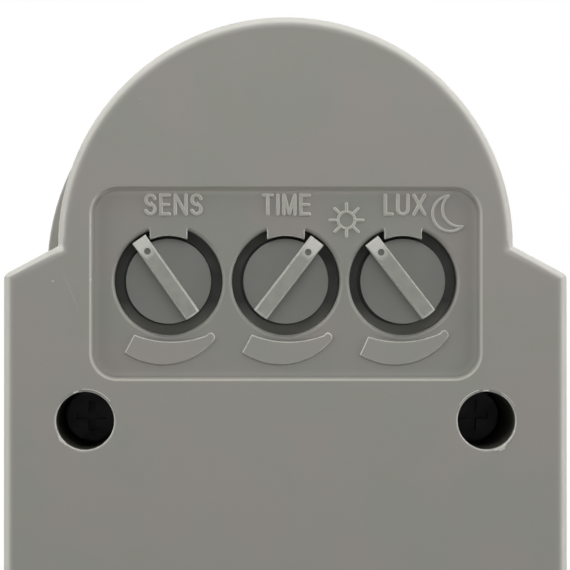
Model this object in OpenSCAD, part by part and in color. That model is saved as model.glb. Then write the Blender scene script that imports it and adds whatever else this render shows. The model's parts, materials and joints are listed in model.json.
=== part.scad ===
// Motion sensor switch for an outside wall, in millimetres.
// A casing on a wall tray, a half-round sensor head with a lens under a hood, and three dials
// sunk in a panel in the underside. The origin is the middle of the tray's back face,
// +Y points into the wall and +Z points up, so the dials look down.

/* [Casing] */
// Width of the casing
body_w = 72; // [70:0.5:75]
// Height of the casing
body_h = 94; // [92:0.5:98]
// Depth of the tray that is screwed to the wall
tray_d = 8; // [7:0.5:9]
// Wall thickness of the mouldings
wall = 2; // [1.8:0.1:2.1]
// Round on the edge of the underside
edge_r = 1.5; // [1.3:0.1:1.7]
// Round on the casing's two top corners
top_corner_r = 10; // [8:0.5:12]
// Height of the lower housing, up to its seam with the upper one
lower_h = 15; // [15:0.5:17]
// Slope of the shoulders between the casing and the head
shoulder_slope = 0.53; // [0.45:0.01:0.6]

/* [Head] */
// Radius of the lower housing's half-round front
head_r = 29.1; // [28.8:0.1:29.2]
// Distance from the wall to the middle of the half-round
head_from_wall = 51; // [50:0.1:51.1]
// Radius of the hood over the lens
hood_r = 33.1; // [32.8:0.1:33.5]
// How much nearer to the wall the hood's middle is than the head's
hood_back = 2.7; // [2.4:0.1:3]
// Height of the lens that shows between the lower housing and the hood
lens_h = 34; // [32:0.5:36]
// Height of the hood's straight rim
hood_rim_h = 5; // [4:0.5:7]
// Height of the hood's dome above its rim
hood_dome_h = 13; // [11:0.5:15]
// Thickness of the lens
lens_t = 0.8; // [0.6:0.1:0.9]

/* [Dial panel] */
// Width of the recessed panel
panel_w = 49.8; // [49:0.1:51]
// Depth of the recessed panel, from front to back
panel_d = 24.5; // [24.2:0.1:25.5]
// Distance from the wall to the middle of the panel
panel_from_wall = 46; // [45.6:0.1:46.4]
// Corner radius of the panel
panel_corner_r = 3.4; // [2.5:0.1:4.5]
// How far the panel is sunk below the underside
panel_sink = 0.9; // [0.7:0.1:1]
// Width of the slope around the panel
panel_slope_w = 0.3; // [0.2:0.1:0.5]

/* [Dials] */
// Distance between the dials
dial_pitch = 15; // [14.8:0.1:15.6]
// Distance from the wall to the row of dials
dial_from_wall = 46.3; // [46:0.1:46.6]
// Radius of the well that a dial sits in
dial_well_r = 6.9; // [6.8:0.05:6.95]
// Radius of a dial
dial_r = 5.45; // [5.35:0.05:5.5]
// Width of the pointer bar across a dial
pointer_w = 2.05; // [1.8:0.05:2.2]
// Reach of the pointer from the dial's middle
pointer_reach = 6.6; // [6.4:0.05:6.65]
// Width of the stop lug at the front of each well
lug_w = 4.8; // [4.2:0.1:5]
// Radius of the lug's inner face
lug_r = 5.8; // [5.75:0.05:5.9]
// Angle of the sensitivity pointer, in degrees to the left of straight ahead
sens_turn = 35.3; // [35.3:0.5:90]
// Angle of the time pointer
time_turn = -37.5; // [-90:0.5:-36]
// Angle of the light level pointer
lux_turn = 37.8; // [36:0.1:90]

/* [Screws] */
// Distance between the two casing screws
screw_pitch = 51.2; // [51:0.1:52]
// Distance from the wall to the casing screws
screw_from_wall = 28.5; // [27:0.5:30]
// Radius of the wells that the screws are driven through
screw_well_r = 3.7; // [3.5:0.05:3.8]
// Distance between the two wall screw holes
wall_hole_pitch = 64; // [60:1:66]
// Radius of the wall screw holes
wall_hole_r = 2.25; // [2:0.05:2.5]
// Radius of the cable's hole through the grommet
cable_r = 3.5; // [3:0.1:4]

/* [Hidden] */

$fn = 96;
eps = 0.01;
over = 1;
half_w = body_w / 2;
top_z = body_h / 2;
face_z = -body_h / 2;
seam_z = face_z + lower_h;

// Head and hood
head_y = -head_from_wall;
hood_y = head_y + hood_back;
rim_z = seam_z + lens_h;
hood_wall = 1.8;
shoulder_angle = atan(shoulder_slope);
shoulder_r = 1.2;
shoulder_back = 0.22;
front_x = 22;
lens_r = head_r - wall - 0.1;
lens_foot = 2;
lens_flange = 1.2;
window_half_w = lens_r + 0.2;
window_back = 11;

// Side view of the upper housing: a top round, then a straight slant down to the hood
slant = 25;
top_round_r = 12;
top_round_z = top_z - top_round_r;
slant_from_wall = 48.5;
slant_reach = slant_from_wall * cos(slant) + rim_z * sin(slant);
top_round_y = -(slant_reach - top_round_z * sin(slant) - top_round_r) / cos(slant);

// Dials, from the face inwards
panel_z = face_z + panel_sink;
dial_y = -dial_from_wall;
ledge_z = face_z + 5;
ledge_t = 1.5;
dial_back_z = ledge_z - 0.35;
hub_r = dial_r - 1;
hub_gap = 0.2;
ledge_r = hub_r + hub_gap;
cup_r = dial_well_r + 1.2;
disc_z = face_z + 1.9;
pointer_z = face_z + 0.1;
pointer_tip_z = face_z + 0.75;
pointer_foot_z = face_z + 2.9;
pointer_slope_r = 3.5;
dimple_r = 0.42;
dimple_at = 4.65;
mark_h = 0.25;
lux_mark_turn = -3.3;
dial_rim = 0.38;

// Boards and what stands on them
board_t = 1.6;
board_z = seam_z - 1;
board_top_z = board_z + board_t;
board_rear_y = -12.5;
board_inset = wall + 1.6;
sensor_board_y = head_y + 4.5;
sensor_board_t = 1.6;
pir_up = 16;
can_h = 4.3;
window_t = 0.4;
small_parts_x = 8.5;
small_parts_up = 8;
pot_h = 5;
pot_z = board_z - pot_h;
knob_top_z = pot_z - 1.2;
pot_wall = 0.6;
rotor_r = 3.6;
shaft_r = 2;
shaft_flat = 1.5;
shaft_tip_z = disc_z + 1.9;
seal_r = 0.51;
seal_z = ledge_z + ledge_t / 2;
seal_ring_r = ledge_r - 0.08 - seal_r;

// Casing screws and the arms that take them
screw_x = screw_pitch / 2;
screw_y = -screw_from_wall;
well_floor_z = face_z + 24;
tube_top_z = well_floor_z + 3;
tube_r = screw_well_r + 1.5;
screw_rim = 0.25;
arm_top_z = tube_top_z + 12;
arm_w = 5;
thread_r = 1.75;
post_r = 2.2;
post_pilot_r = 0.95;
board_posts = [[0, head_y - 17], [-16, -18], [16, -18]];

// Wall tray
tray_floor_y = -3.4;
tray_recess = 1.2;
wall_hole_z = 2;
cable_z = 15;
boss_r = 5;
grommet_neck_t = 4.5;
hook_x = 18;
hook_reach = 15;
hook_catch = 0.3;
lip_t = 1;
lip_gap = 0.1;

// Terminal block
pole_pitch = 8;
poles = [-1.5, -0.5, 0.5, 1.5] * pole_pitch;
block_d = 14;
block_z = -14;
block_h = 11;
block_front_y = tray_floor_y - block_d;
clamp_size = [5, 5.2, 8];
clamp_gap = 0.2;
wire_in = 6.2;
wire_y = block_front_y + wire_in;
clamp_screw_up = 4.5;

// Points of an arc around a centre, both ends included
function arc(centre, r, from, to, steps) = [
    for (i = [0:steps]) let (a = from + (to - from) * i / steps) centre + r * [cos(a), sin(a)]
];

// A closed outline from its right half, given from one end of the mirror line to the other
function both_sides(right) = concat(right, [for (i = [len(right) - 1:-1:0]) [-right[i].x, right[i].y]]);

function rounded_box(w, d, r, steps = 6) = [
    for (k = [0:3]) each arc(
        [(k == 0 || k == 3 ? 1 : -1) * (w / 2 - r), (k < 2 ? 1 : -1) * (d / 2 - r)],
        r, k * 90, k * 90 + 90, steps)
];

// Front line of the shoulders, seen in plan, at a distance in from the outside
function shoulder_y(x, in) =
    head_y + shoulder_back + (x - head_r) * shoulder_slope + in / cos(shoulder_angle);

function plan_corner(in) = in < shoulder_r
    ? arc([half_w - shoulder_r, shoulder_y(half_w - shoulder_r, shoulder_r)],
        shoulder_r - in, shoulder_angle - 90, 0, 4)
    : [[half_w - in, shoulder_y(half_w - in, in)]];

// Plan of the casing behind the head, moved in from the outside
module casing_plan(in, back_y) {
    polygon(both_sides(concat(
        [[front_x, shoulder_y(front_x, in)]],
        plan_corner(in),
        [[half_w - in, back_y]])));
}

module whole_plan(in, back_y) {
    casing_plan(in, back_y);
    translate([0, head_y]) circle(r = head_r - in);
}

// Front view of the casing, moved in from the outside
module casing_front(in) {
    bottom_r = max(edge_r - in, eps);
    top_r = top_corner_r - in;
    inset_w = half_w - in;
    polygon(both_sides(concat(
        arc([inset_w - bottom_r, face_z + in + bottom_r], bottom_r, -90, 0, 5),
        arc([inset_w - top_r, top_z - in - top_r], top_r, 0, 90, 10))));
}

// Lays a plan-like sketch of X and Z upright, with its thickness from y_low to y_high
module upright(y_low, y_high) {
    translate([0, y_high, 0]) rotate([90, 0, 0]) linear_extrude(y_high - y_low) children();
}

// A half space with a rounded lower edge, used to round the edges of the underside
module edge_slab(at, turn, height) {
    far = 3 * body_w;
    translate([at.x, at.y, face_z]) rotate([0, 0, turn]) rotate([90, 0, 0])
        linear_extrude(2 * far, center = true)
            polygon(concat(
                [[-far, height], [-far, 0]],
                arc([-edge_r, edge_r], edge_r, -90, 0, 5),
                [[0, height]]));
}

module at_dials() {
    for (i = [-1:1]) translate([i * dial_pitch, dial_y, 0]) children();
}

module at_screws() {
    for (side = [-1, 1]) translate([side * screw_x, screw_y, 0]) children();
}

// Lower housing

module lower_outside() {
    intersection() {
        translate([0, 0, face_z]) linear_extrude(lower_h) casing_plan(0, -tray_d);
        edge_slab([half_w, 0], 0, lower_h);
        edge_slab([-half_w, 0], 180, lower_h);
        edge_slab([head_r, shoulder_y(head_r, 0)], shoulder_angle - 90, lower_h);
        edge_slab([-head_r, shoulder_y(head_r, 0)], -shoulder_angle - 90, lower_h);
    }
    translate([0, head_y, face_z]) rotate_extrude($fn = 144)
        polygon(concat(
            [[0, lower_h], [0, 0]],
            arc([head_r - edge_r, edge_r], edge_r, -90, 0, 5),
            [[head_r, lower_h]]));
}

module panel_pocket() {
    hull() {
        translate([0, -panel_from_wall, panel_z]) linear_extrude(eps)
            polygon(rounded_box(panel_w - 2 * panel_slope_w, panel_d - 2 * panel_slope_w,
                panel_corner_r - panel_slope_w));
        translate([0, -panel_from_wall, face_z - eps]) linear_extrude(eps)
            polygon(rounded_box(panel_w, panel_d, panel_corner_r));
    }
}

// The curved mark below a dial, thick at its start and thin at its rounded end. It lies between
// two arcs, and a slanted cut ends it on each side.
module level_mark() {
    outer_at = [-0.7, 2.27];
    outer_r = 8.4;
    inner_at = [0.36, -5];
    inner_r = 12.75;
    start_cut = [[-3.9, 5.95], [-7.1, 12]];
    end_cut = [[4, 12], [6.1, 7.9], [4.4, 5]];
    tip_at = [5.35, 7.05];
    tip_r = 0.46;
    difference() {
        intersection() {
            translate(outer_at) circle(r = outer_r);
            polygon(concat(start_cut, end_cut));
        }
        translate(inner_at) circle(r = inner_r);
    }
    translate(tip_at) circle(r = tip_r, $fn = 24);
}

// The light level's mark is turned a little about its own middle
module level_marks() {
    mark_middle = [0, 9];
    for (i = [-1:1]) translate([i * dial_pitch, dial_y, panel_z - mark_h]) linear_extrude(over)
        translate(mark_middle) rotate(i == 1 ? lux_mark_turn : 0) translate(-mark_middle) level_mark();
}

module dial_cups() {
    at_dials() translate([0, 0, panel_z]) cylinder(r = cup_r, h = ledge_z + ledge_t - panel_z);
}

// What is cut away for a dial: the well with its bevelled rim, less the stop lug, and the bore
module dial_well() {
    well_h = ledge_z - face_z + over;
    difference() {
        union() {
            translate([0, 0, face_z - over]) cylinder(r = dial_well_r, h = well_h);
            translate([0, 0, panel_z - over])
                cylinder(r1 = dial_well_r + dial_rim + over, r2 = dial_well_r, h = over + dial_rim);
        }
        translate([-lug_w / 2, -dial_well_r - 2 * over, face_z - 2 * over]) difference() {
            cube([lug_w, dial_well_r, well_h + 2 * over]);
            translate([lug_w / 2, dial_well_r + 2 * over, -over])
                cylinder(r = lug_r, h = well_h + 4 * over);
        }
    }
    translate([0, 0, ledge_z - over]) cylinder(r = ledge_r, h = ledge_t + 2 * over);
}

module screw_tubes() {
    foot_z = face_z + wall / 2;
    at_screws() translate([0, 0, foot_z]) cylinder(r = tube_r, h = tube_top_z - foot_z);
}

module screw_well() {
    shank_gap = 0.2;
    translate([0, 0, face_z - over]) cylinder(r = screw_well_r, h = well_floor_z - face_z + over);
    translate([0, 0, face_z - eps])
        cylinder(r1 = screw_well_r + screw_rim, r2 = screw_well_r, h = screw_rim);
    translate([0, 0, well_floor_z - over])
        cylinder(r = thread_r + shank_gap, h = tube_top_z - well_floor_z + 2 * over);
}

module board_post() {
    foot_z = face_z + wall / 2;
    translate([0, 0, foot_z]) cylinder(r = post_r, h = board_z - foot_z, $fn = 32);
}

module board_post_pilot() {
    pilot_depth = 6;
    translate([0, 0, board_z - pilot_depth]) cylinder(r = post_pilot_r, h = pilot_depth + over, $fn = 24);
}

// A ring inside the half-round front that the foot of the lens stands on
module lens_ledge() {
    ledge_w = 1.3;
    ledge_h = 2;
    translate([0, head_y, seam_z - lens_foot - ledge_h]) intersection() {
        difference() {
            cylinder(r = head_r - wall / 2, h = ledge_h);
            translate([0, 0, -over]) cylinder(r = head_r - wall - ledge_w, h = ledge_h + 2 * over);
        }
        translate([-head_r, -head_r - over, -over]) cube([2 * head_r, head_r + over, ledge_h + 2 * over]);
    }
}

// A tongue around the sides that centres the upper housing on the lower one
module seam_tongue() {
    from_wall = 44;
    tongue_l = 30;
    below_seam = 2.5;
    above_seam = 1.5;
    root_h = 2;
    root_in_wall = 0.5;
    for (side = [0, 1]) mirror([side, 0, 0])
        translate([half_w - wall - lip_gap - lip_t, -from_wall, seam_z - below_seam]) {
            cube([lip_t, tongue_l, below_seam + above_seam]);
            cube([lip_t + lip_gap + root_in_wall, tongue_l, root_h]);
        }
}

module lower_housing() {
    color([0.55, 0.54, 0.52]) difference() {
        union() {
            difference() {
                lower_outside();
                translate([0, 0, face_z + wall]) linear_extrude(lower_h) whole_plan(wall, 1);
            }
            // The wall is as thick behind the panel as elsewhere
            translate([0, -panel_from_wall, face_z + wall - eps]) linear_extrude(panel_sink)
                polygon(rounded_box(panel_w + 1.5 * wall, panel_d + 1.5 * wall, panel_corner_r));
            dial_cups();
            screw_tubes();
            for (post = board_posts) translate(post) board_post();
            lens_ledge();
            seam_tongue();
        }
        difference() {
            panel_pocket();
            level_marks();
        }
        at_dials() dial_well();
        at_screws() screw_well();
        for (post = board_posts) translate(post) board_post_pilot();
    }
}

// Upper housing

// Side view of Y and Z, moved in from the outside
module side_view(in, back_y) {
    reach = slant_reach - in;
    low_y = (seam_z * sin(slant) - reach) / cos(slant);
    polygon(concat(
        [[low_y, seam_z - in], [back_y, seam_z - in], [back_y, top_z - in]],
        arc([top_round_y, top_round_z], top_round_r - in, 90, 180 - slant, 8)));
}

module casing_block(in, back_y) {
    intersection() {
        translate([0, 0, seam_z - in]) linear_extrude(top_z - seam_z + in) casing_plan(in, back_y);
        rotate([90, 0, 90]) linear_extrude(2 * body_w, center = true) side_view(in, back_y);
        upright(-2 * body_w, body_w) casing_front(in);
    }
}

// Dome of the hood, a squared-off quarter oval turned about the head's middle
module hood_block(in) {
    r = hood_r - in;
    h = hood_dome_h - in;
    low = in > 0 ? -1 : 0;
    translate([0, hood_y, rim_z]) rotate_extrude()
        polygon(concat(
            [[0, low], [r, low]],
            [for (a = [0:7.5:82.5]) [r * pow(cos(a), 0.75), hood_rim_h + h * pow(sin(a), 0.75)]],
            [[0, hood_rim_h + h]]));
}

// Ribs inside the hood that hold the lens down
module hood_ribs() {
    rib_t = 1.2;
    rib_l = 6;
    over_lens = 1.5;
    gap = 0.05;
    intersection() {
        translate([0, head_y, rim_z + lens_flange + gap])
            for (a = [-150:30:-30]) rotate([0, 0, a]) translate([lens_r - over_lens, -rib_t / 2, 0])
                cube([rib_l, rib_t, hood_rim_h + hood_dome_h]);
        hood_block(hood_wall / 2);
    }
}

// Ribs under the roof that the tray's hooks catch on
module hook_ribs() {
    rib_w = 8;
    rib_t = 1.5;
    rib_h = 4;
    rib_from_wall = hook_reach - 2;
    for (side = [-1, 1]) translate([side * hook_x - rib_w / 2, -rib_from_wall, top_z - rib_h])
        cube([rib_w, rib_t, rib_h - wall / 2]);
}

module upper_housing() {
    color([0.55, 0.54, 0.52]) {
        difference() {
            union() {
                casing_block(0, -tray_d);
                hood_block(0);
            }
            casing_block(wall, 1);
            hood_block(hood_wall);
            translate([-window_half_w, head_y - head_r, seam_z - over])
                cube([2 * window_half_w, head_r + window_back, lens_h + over + eps]);
        }
        hood_ribs();
        hook_ribs();
    }
}

// Lens

module lens() {
    side_d = 4;
    side_h = rim_z - board_top_z - 0.5;
    over_board = 0.3;
    tab_t = 1;
    tab_w = 4;
    tab_h = side_h - 2.8;
    color([0.93, 0.94, 0.93, 0.9]) {
        translate([0, head_y, 0]) rotate([0, 0, 180]) rotate_extrude(angle = 180, $fn = 144)
            polygon([
                [lens_r - lens_t, seam_z - lens_foot], [lens_r, seam_z - lens_foot],
                [lens_r, rim_z], [lens_r + lens_flange, rim_z],
                [lens_r + lens_flange, rim_z + lens_flange], [lens_r - lens_t, rim_z + lens_flange]
            ]);
        for (side = [0, 1]) mirror([side, 0, 0])
            translate([lens_r - lens_t, head_y - eps, board_top_z + over_board]) {
                cube([lens_t, side_d, side_h]);
                translate([0, side_d, 0]) cube([lens_t + tab_w, tab_t, tab_h]);
            }
    }
}

// Wall tray

module tray_arm(side) {
    gusset_t = 2;
    gusset_h = 12;
    gusset_short = 6;
    collar_r = tube_r - 0.2;
    translate([side * screw_x - arm_w / 2, screw_y, tube_top_z])
        cube([arm_w, -screw_y + tray_floor_y + eps, arm_top_z - tube_top_z]);
    translate([side * screw_x, screw_y, tube_top_z]) cylinder(r = collar_r, h = arm_top_z - tube_top_z);
    translate([side * screw_x - gusset_t / 2, 0, arm_top_z - eps]) rotate([90, 0, 90])
        linear_extrude(gusset_t) polygon([
            [tray_floor_y + eps, 0], [tray_floor_y + eps, gusset_h], [screw_y + gusset_short, 0]
        ]);
}

module tray_hook(side) {
    hook_w = 7;
    hook_t = 2;
    below_roof = 6.4;
    tip_h = 3.8;
    translate([side * hook_x - hook_w / 2, -hook_reach, top_z - below_roof]) {
        cube([hook_w, hook_reach + tray_floor_y + eps, hook_t]);
        cube([hook_w, hook_t - hook_catch, tip_h]);
    }
}

// A shallow tray, hollow on the wall's side too, with a lip that the casing slips over
module wall_base() {
    rim_w = wall + 1.5;
    lip_h = 2;
    lip_root = 0.1;
    color([0.55, 0.54, 0.52]) difference() {
        union() {
            difference() {
                upright(-tray_d, 0) casing_front(0);
                upright(-tray_d - over, tray_floor_y) casing_front(wall);
                upright(-tray_recess, over) casing_front(rim_w);
            }
            difference() {
                union() {
                    upright(-tray_d - lip_h, tray_floor_y) casing_front(wall + lip_gap);
                    upright(-tray_d + over, tray_floor_y) casing_front(wall - lip_root);
                }
                upright(-tray_d - lip_h - over, tray_floor_y) casing_front(wall + lip_gap + lip_t);
            }
            for (end = [-1, 1]) translate([0, 0, wall_hole_z + end * wall_hole_pitch / 2])
                rotate([90, 0, 0]) cylinder(r = boss_r, h = -tray_floor_y);
            for (side = [-1, 1]) {
                tray_arm(side);
                tray_hook(side);
            }
        }
        for (end = [-1, 1]) translate([0, over, wall_hole_z + end * wall_hole_pitch / 2])
            rotate([90, 0, 0]) cylinder(r = wall_hole_r, h = tray_d);
        translate([0, over, cable_z]) rotate([90, 0, 0]) cylinder(r = cable_r + grommet_neck_t, h = tray_d);
        at_screws() translate([0, 0, tube_top_z - over])
            cylinder(r = thread_r + 0.05, h = arm_top_z - tube_top_z - over);
    }
}

// Rubber grommet: a rear flange, a neck in the tray's floor, a front flange and a nose
module cable_grommet() {
    neck_r = cable_r + grommet_neck_t;
    flange_r = neck_r + 2;
    back = 0.2;
    floor_in = -tray_floor_y;
    flange_in = floor_in + 1.2;
    flange_taper = 0.6;
    nose_in = flange_in + 2.4;
    nose_root_t = 1.7;
    nose_tip_t = 1.1;
    color([0.12, 0.12, 0.12]) translate([0, 0, cable_z]) rotate([90, 0, 0]) rotate_extrude()
        polygon([
            [cable_r, back], [flange_r, back], [flange_r, tray_recess], [neck_r, tray_recess],
            [neck_r, floor_in], [flange_r, floor_in], [flange_r - flange_taper, flange_in],
            [cable_r + nose_root_t, flange_in], [cable_r + nose_tip_t, nose_in], [cable_r, nose_in]
        ]);
}

// Terminal block, its clamps, its screws and the leads to the board

module at_poles() {
    for (x = poles) translate([x, block_front_y, block_z]) children();
}

module clamp_block(size, z) {
    translate([-size.x / 2, wire_in - size.y / 2, z]) cube(size);
}

module terminal_block() {
    block_w = (len(poles) + 0.2) * pole_pitch;
    notch_w = 0.8;
    notch_d = 2;
    screw_hole_r = 2.2;
    wire_hole_r = 1.9;
    wire_hole_z = 2;
    color([0.9, 0.9, 0.86]) difference() {
        translate([-block_w / 2, block_front_y, block_z]) cube([block_w, block_d, block_h]);
        at_poles() {
            clamp_block(clamp_size + [2, 2, 3] * clamp_gap + [0, 0, over], -over);
            translate([0, -over, clamp_screw_up]) rotate([-90, 0, 0]) cylinder(r = screw_hole_r, h = 5);
            translate([0, wire_in, wire_hole_z]) cylinder(r = wire_hole_r, h = block_h);
        }
        // Notches between the poles, as on a strip that can be cut apart
        for (x = [-1:1]) translate([x * pole_pitch - notch_w / 2, block_front_y - over, block_z - over])
            cube([notch_w, notch_d + over, block_h + 2 * over]);
    }
}

module terminal_clamps() {
    wire_hole_r = 1.5;
    tapped_r = 1.3;
    color([0.78, 0.66, 0.35]) at_poles() difference() {
        clamp_block(clamp_size, 2 * clamp_gap);
        translate([0, wire_in, -over]) cylinder(r = wire_hole_r, h = block_h);
        translate([0, 3, clamp_screw_up]) rotate([-90, 0, 0]) cylinder(r = tapped_r, h = wire_in - 3);
    }
}

module terminal_screws() {
    head_in = 1;
    head_r = 2;
    head_h = 1.6;
    shank_r = 1.25;
    shank_l = 2.4;
    slot = [0.6, 5, 0.8];
    color([0.72, 0.72, 0.7]) at_poles() translate([0, head_in, clamp_screw_up]) rotate([-90, 0, 0])
        difference() {
            union() {
                cylinder(r = head_r, h = head_h);
                cylinder(r = shank_r, h = head_h + shank_l);
            }
            translate([-slot.x / 2, -slot.y / 2, -over]) cube(slot + [0, 0, over]);
        }
}

// A lead is swept down from its clamp in an easy bend, with a level ring of points at each step
function lead_y(t, y0, y1) = y0 + (y1 - y0) * (3 * t * t - 2 * t * t * t);

module lead(x, y0, z0, y1, z1, r) {
    steps = 12;
    sides = 8;
    points = [
        for (i = [0:steps]) for (k = [0:sides - 1]) [
            x + r * cos(k * 360 / sides),
            lead_y(i / steps, y0, y1) + r * sin(k * 360 / sides),
            z0 + (z1 - z0) * i / steps]
    ];
    sides_faces = [
        for (i = [0:steps - 1]) for (k = [0:sides - 1]) let (n = (k + 1) % sides)
            each [[i * sides + k, i * sides + n, (i + 1) * sides + n],
                [i * sides + k, (i + 1) * sides + n, (i + 1) * sides + k]]
    ];
    ends = [
        [for (k = [sides - 1:-1:0]) k],
        [for (k = [0:sides - 1]) steps * sides + k]
    ];
    polyhedron(points, concat(sides_faces, ends));
}

module lead_wires() {
    lead_r = 1.1;
    board_y = board_rear_y - 2 * lead_r;
    clamped_z = block_z + 3;
    for (i = [0:2]) color([[0.45, 0.3, 0.15], [0.2, 0.35, 0.7], [0.15, 0.15, 0.15]][i])
        lead(poles[i], wire_y, clamped_z, board_y, board_top_z, lead_r);
}

// Boards

module main_board() {
    tube_gap = 0.5;
    screw_hole_r = 1.3;
    color([0.16, 0.4, 0.2]) translate([0, 0, board_z]) linear_extrude(board_t) difference() {
        whole_plan(board_inset, board_rear_y);
        at_screws() circle(r = tube_r + tube_gap);
        for (post = board_posts) translate(post) circle(r = screw_hole_r, $fn = 24);
    }
}

module sensor_board() {
    board_side = 28;
    color([0.16, 0.4, 0.2]) translate([-board_side / 2, sensor_board_y, board_top_z])
        cube([board_side, sensor_board_t, board_side]);
}

module pin_header() {
    pins = 6;
    pitch = 2.54;
    body = 2.5;
    notch = [0.4, 5, 0.5];
    color([0.1, 0.1, 0.1]) translate([-pins * pitch / 2, sensor_board_y + sensor_board_t, board_top_z])
        difference() {
            cube([pins * pitch, body, body]);
            for (i = [1:pins - 1]) translate([i * pitch - notch.x / 2, -over, body - notch.z])
                cube(notch + [0, 0, over]);
        }
}

module facing_front(x, z) {
    translate([x, sensor_board_y, board_top_z + z]) rotate([90, 0, 0]) children();
}

module window_block(h) {
    window_w = 4;
    window_h = 3;
    translate([-window_w / 2, -window_h / 2, can_h - window_t]) cube([window_w, window_h, h]);
}

module pir_sensor() {
    flange_r = 4.6;
    flange_t = 0.6;
    can_r = 4.1;
    color([0.75, 0.75, 0.73]) facing_front(0, pir_up) difference() {
        union() {
            cylinder(r = flange_r, h = flange_t);
            cylinder(r = can_r, h = can_h);
        }
        window_block(over);
    }
}

module pir_window() {
    color([0.1, 0.1, 0.12]) facing_front(0, pir_up) window_block(window_t - 0.1);
}

// A disc with two flats
module photocell() {
    cell_r = 2.5;
    cell_h = 2;
    across_flats = 4.3;
    color([0.8, 0.45, 0.2]) facing_front(-small_parts_x, small_parts_up) intersection() {
        cylinder(r = cell_r, h = cell_h);
        translate([-cell_r, -across_flats / 2, 0]) cube([2 * cell_r, across_flats, cell_h]);
    }
}

module indicator_led() {
    flange_r = 1.9;
    lamp_r = 1.5;
    lamp_h = 3.2;
    color([0.8, 0.15, 0.12]) facing_front(small_parts_x, small_parts_up) {
        cylinder(r = flange_r, h = 1);
        cylinder(r = lamp_r, h = lamp_h);
        translate([0, 0, lamp_h]) difference() {
            sphere(r = lamp_r - eps);
            translate([-flange_r, -flange_r, -4.2]) cube([2 * flange_r, 2 * flange_r, 4]);
        }
    }
}

module on_board(x, y) {
    translate([x, y, board_top_z]) children();
}

// A block with a notch in one top corner that marks its first pin
module relay() {
    case_size = [19, 15.5, 15.3];
    notch = [2, 3, 0.5];
    color([0.15, 0.3, 0.6]) on_board(-9, -31) translate([-case_size.x / 2, -case_size.y / 2, 0])
        difference() {
            cube(case_size);
            translate([-notch.x / 2, -notch.y / 3, case_size.z - notch.z]) cube(notch + [0, 0, over]);
        }
}

// A moulded block with a groove under each end
module film_capacitor() {
    case_size = [18, 8.5, 15];
    groove = [5, 3, 0.6];
    color([0.75, 0.6, 0.15]) on_board(10.5, -36) translate([-case_size.x / 2, -case_size.y / 2, 0])
        difference() {
            cube(case_size);
            for (x = [-over, case_size.x - groove.x])
                translate([x, (case_size.y - groove.y) / 2, -over]) cube(groove + [over, 0, over]);
        }
}

// An upright can with a crimped groove near its foot
module can_capacitor(r, h) {
    crimp = 0.35;
    rim = 0.4;
    sink = 0.2;
    rotate_extrude($fn = 48) polygon([
        [0, 0], [r, 0], [r, 3 * rim], [r - crimp, 4 * rim], [r - crimp, 5 * rim], [r, 6 * rim],
        [r, h - rim], [r - rim, h], [r - 2 * rim, h], [r - 2 * rim, h - sink], [0, h - sink]
    ]);
}

module filter_capacitor() {
    color([0.12, 0.14, 0.25]) on_board(8, -25) can_capacitor(5, 12.5);
}

module small_capacitor() {
    color([0.12, 0.14, 0.25]) on_board(17, -25.6) can_capacitor(3.2, 8);
}

// A coated disc on edge, on two legs
module varistor() {
    disc = 4.5;
    disc_t = 3.6;
    lift = 5.5;
    leg_t = 1.2;
    leg_w = 1;
    leg_spread = 2.1;
    color([0.2, 0.4, 0.65]) on_board(27, -40) translate([0, disc_t / 2, lift]) rotate([90, 0, 0]) {
        cylinder(r = disc, h = disc_t, $fn = 48);
        for (side = [-1, 1]) translate([side * leg_spread - leg_w / 2, -lift, (disc_t - leg_t) / 2])
            cube([leg_w, disc, leg_t]);
    }
}

// A ceramic tube with an end cap on each side
module fuse() {
    cap_r = 1.7;
    tube = 1.45;
    cap_l = 1.6;
    fuse_l = 9;
    step = 0.2;
    color([0.85, 0.83, 0.75]) on_board(-28, -45) translate([0, 0, cap_r]) rotate([-90, 0, 0])
        rotate_extrude($fn = 32) polygon([
            [0, 0], [cap_r, 0], [cap_r, cap_l], [tube, cap_l + step],
            [tube, fuse_l - cap_l - step], [cap_r, fuse_l - cap_l], [cap_r, fuse_l], [0, fuse_l]
        ]);
}

module timer_chip() {
    legs = 7;
    pitch = 1.27;
    leg = [0.4, 6, 0.5];
    body = [8.8, 3.9, 1.5];
    lift = 0.2;
    color([0.1, 0.1, 0.1]) on_board(-3, -19.3) {
        translate([-body.x / 2, -body.y / 2, lift]) cube(body);
        for (i = [0:legs - 1])
            translate([(i - (legs - 1) / 2) * pitch - leg.x / 2, -leg.y / 2, 0]) cube(leg);
    }
}

// Screws: a head with a cross recess, and a shank that reaches up into its boss
module cross_screw(head_r, head_h, shank_r, length, recess_w) {
    difference() {
        union() {
            cylinder(r = head_r, h = head_h, $fn = 48);
            cylinder(r = shank_r, h = head_h + length, $fn = 32);
        }
        recess = 0.6;
        for (turn = [0, 90]) rotate([0, 0, turn]) translate([-head_r * recess, -recess_w / 2, -over])
            cube([2 * head_r * recess, recess_w, over + head_h * recess]);
    }
}

module housing_screws() {
    head_h = 2.2;
    head_gap = 0.4;
    in_arm = 8;
    color([0.2, 0.2, 0.2]) at_screws() translate([0, 0, well_floor_z - head_h])
        cross_screw(screw_well_r - head_gap, head_h, thread_r, tube_top_z - well_floor_z + in_arm, 0.9);
}

module board_screws() {
    head_h = 1.5;
    in_post = 4.5;
    color([0.7, 0.7, 0.68]) for (post = board_posts)
        translate([post.x, post.y, board_top_z + head_h]) mirror([0, 0, 1])
            cross_screw(2.3, head_h, post_pilot_r - 0.05, board_t + in_post, 0.7);
}

// Dials, each about its own axis with the pointer straight ahead, towards -Y

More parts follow.
